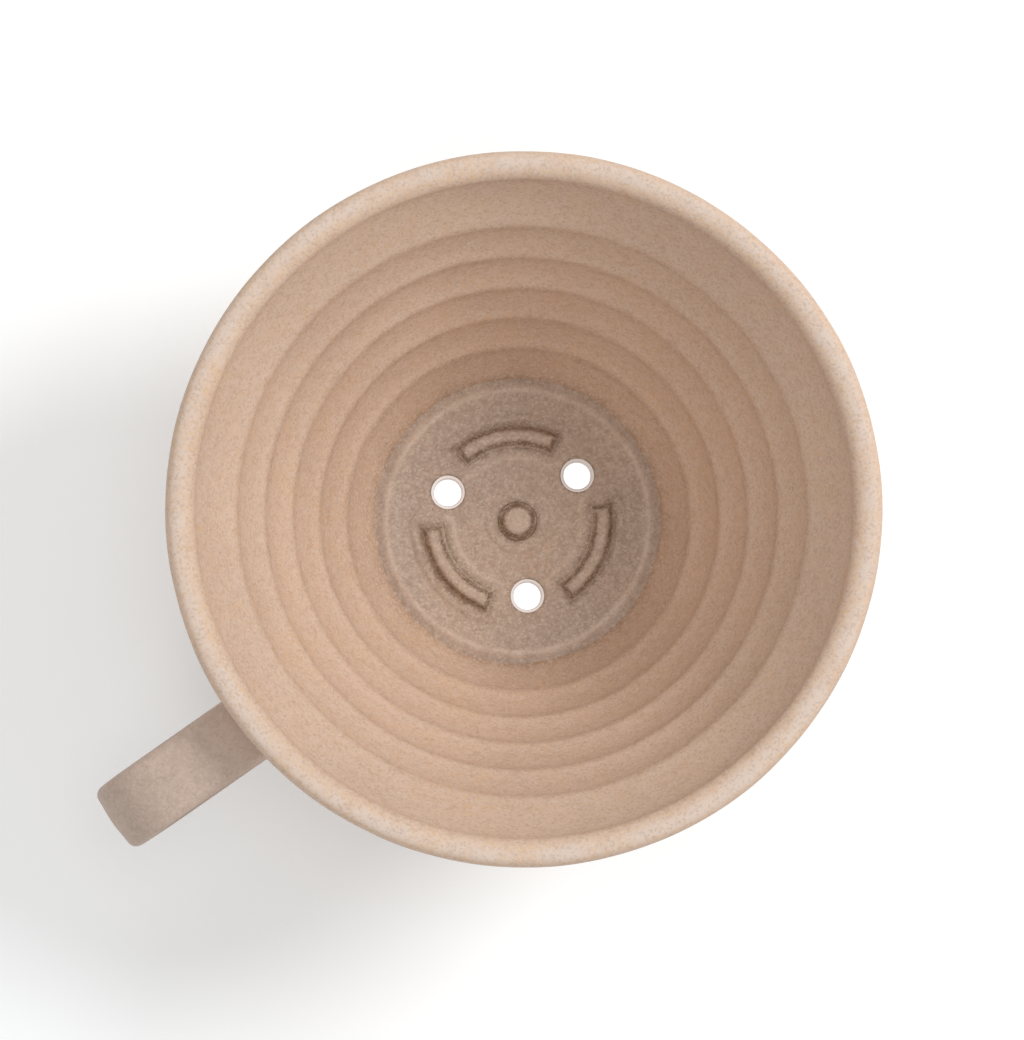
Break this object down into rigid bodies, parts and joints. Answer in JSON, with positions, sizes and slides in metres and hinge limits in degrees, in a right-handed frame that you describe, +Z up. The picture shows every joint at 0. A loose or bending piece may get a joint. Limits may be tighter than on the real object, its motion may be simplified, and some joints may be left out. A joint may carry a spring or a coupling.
{
  "type": "pour over dripper",
  "caption": "Stoneware cone for flat-bottomed coffee filters, with drain holes, a seating flange with a locating ring, and a strap handle.",
  "frame": {"origin": "on the cone's axis, in the plane of the flange's underside, which rests on the mug's rim", "axes": "+Z up, out of the open rim; +X towards the handle; the drain holes lie at 60, 180 and 300 degrees from +X"},
  "size_m": [0.1474, 0.12, 0.072],
  "materials": {
    "stoneware_wall": "matte",
    "stoneware_floor": "matte",
    "stoneware_handle": "matte",
    "bare_stoneware": "matte"
  },
  "bodies": {
    "root": {"cone_body": "stoneware_wall", "drain_plate": "stoneware_floor", "filter_rib_1": "stoneware_floor", "filter_rib_2": "stoneware_floor", "filter_rib_3": "stoneware_floor", "centre_boss": "stoneware_floor", "base_flange": "stoneware_wall", "locating_ring": "bare_stoneware", "handle": "stoneware_handle"}
  },
  "joints": []
}
